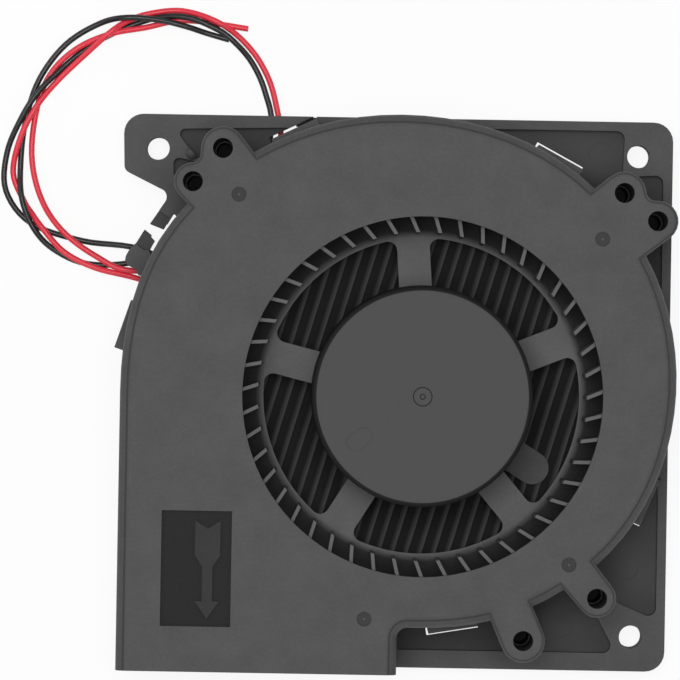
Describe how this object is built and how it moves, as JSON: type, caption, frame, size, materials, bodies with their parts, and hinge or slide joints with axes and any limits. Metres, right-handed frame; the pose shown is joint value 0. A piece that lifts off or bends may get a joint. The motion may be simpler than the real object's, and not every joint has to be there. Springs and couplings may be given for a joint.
{
  "type": "dc centrifugal blower fan",
  "caption": "Square-flanged DC centrifugal blower: spiral housing with round inlet, flat outlet, open-spoked radial impeller, ball-bearing motor and two bare-ended leads.",
  "frame": {"origin": "centre of the 120 mm square mounting flange, on the rear face", "axes": "+Z along the rotor axis out of the round inlet; -Y out of the air outlet; +X to the right when looking into the inlet with the outlet at the bottom"},
  "size_m": [0.1471, 0.1436, 0.032],
  "materials": {
    "base_plastic": "moulded glass-filled polyester, dark grey, satin",
    "cover_plastic": "moulded glass-filled polyester, dark grey, satin",
    "impeller_plastic": "moulded glass-filled polyester, dark grey, satin",
    "brass": "turned brass",
    "lamination_steel": "stamped laminations",
    "nylon": "natural nylon",
    "enamelled_copper": "enamelled copper winding",
    "board": "green solder mask",
    "component_black": "black moulding compound",
    "component_tan": "tan ceramic",
    "bearing_steel": "ground bearing steel",
    "zinc_steel": "zinc-plated steel",
    "ferrite": "bonded ferrite",
    "red_insulation": "soft PVC, red",
    "black_insulation": "soft PVC, black"
  },
  "bodies": {
    "housing": {"base_housing": "base_plastic", "top_cover": "cover_plastic", "bearing_tube": "brass", "dust_cap": "base_plastic", "stator_core": "lamination_steel", "lower_insulator": "nylon", "upper_insulator": "nylon", "stator_coils": "enamelled_copper", "terminal_pins": "brass", "circuit_board": "board", "driver_chip": "component_black", "hall_sensor": "component_black", "capacitor": "component_tan", "lower_outer_race": "bearing_steel", "upper_outer_race": "bearing_steel", "bearing_shields": "zinc_steel", "preload_spring": "bearing_steel", "lead_red": "red_insulation", "lead_black": "black_insulation"},
    "rotor": {"impeller": "impeller_plastic", "rotor_yoke": "zinc_steel", "ring_magnet": "ferrite", "shaft_bush": "brass", "shaft": "bearing_steel", "lower_inner_race": "bearing_steel", "upper_inner_race": "bearing_steel", "retaining_ring": "zinc_steel", "thrust_washer": "nylon"},
    "lower_ball_set": {"lower_balls": "bearing_steel"},
    "upper_ball_set": {"upper_balls": "bearing_steel"}
  },
  "joints": [
    {"name": "rotor_spin", "type": "hinge", "parent": "housing", "child": "rotor", "pos_m": [0.0058, -0.0005, 0.02], "axis": [0, 0, 1], "continuous": true},
    {"name": "lower_ball_roll", "type": "hinge", "parent": "housing", "child": "lower_ball_set", "pos_m": [0.0058, -0.0005, 0.0094], "axis": [0, 0, 1], "continuous": true},
    {"name": "upper_ball_roll", "type": "hinge", "parent": "housing", "child": "upper_ball_set", "pos_m": [0.0058, -0.0005, 0.0228], "axis": [0, 0, 1], "continuous": true}
  ],
  "couplings": [
    {"joint": "lower_ball_roll", "follows": "rotor_spin", "ratio": 0.36},
    {"joint": "upper_ball_roll", "follows": "rotor_spin", "ratio": 0.36}
  ]
}
